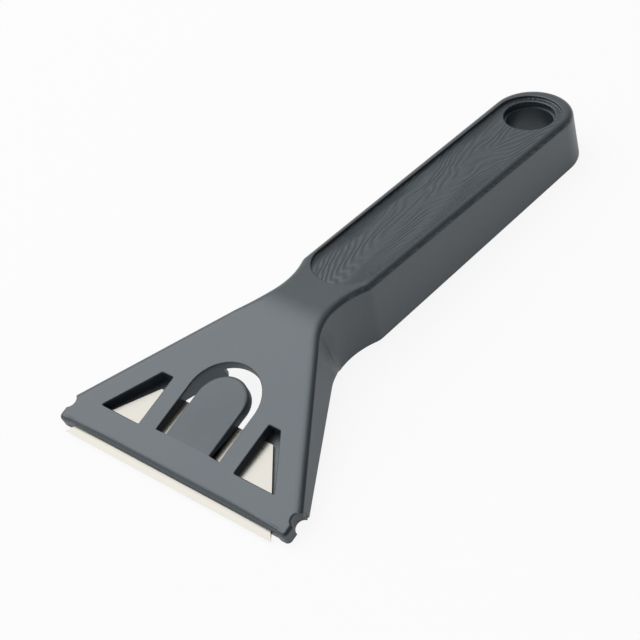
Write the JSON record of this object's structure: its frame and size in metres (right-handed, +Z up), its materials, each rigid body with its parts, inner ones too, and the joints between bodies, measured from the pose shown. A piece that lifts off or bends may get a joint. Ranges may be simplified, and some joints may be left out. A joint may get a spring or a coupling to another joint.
{
  "type": "ceramic hob scraper",
  "caption": "Hand scraper for ceramic hobs: a flat flared plastic head over a wide steel blade, a narrow waist, and a hollow-backed handle with a sunk wood-grain panel and a hanging hole",
  "frame": {"origin": "bottom centre of the object's bounding box, on the surface it rests on", "axes": "+Y runs from the blade's edge to the handle's end, +Z is up with the printed side of the handle upwards, X is across the head"},
  "size_m": [0.0678, 0.151, 0.017],
  "materials": {
    "moulded_plastic": "slate grey moulding with a fine satin grain; the handle panel has a moulded wood-grain pattern",
    "blade_steel": "bright ground strip with a thin bevel along the front edge"
  },
  "bodies": {
    "handle": {"body_moulding": "moulded_plastic"},
    "tongue": {"spring_tongue": "moulded_plastic"},
    "blade": {"blade": "blade_steel"}
  },
  "joints": [
    {"name": "tongue_flex", "type": "hinge", "parent": "handle", "child": "tongue", "pos_m": [0, -0.06685, 0.00569], "axis": [1, 0, 0], "range_deg": [0, 8], "stiffness_Nm_per_rad": 0.5},
    {"name": "blade_slide", "type": "slide", "parent": "handle", "child": "blade", "axis": [0, -0.9645, -0.2641], "range_m": [0, 0.024]}
  ]
}
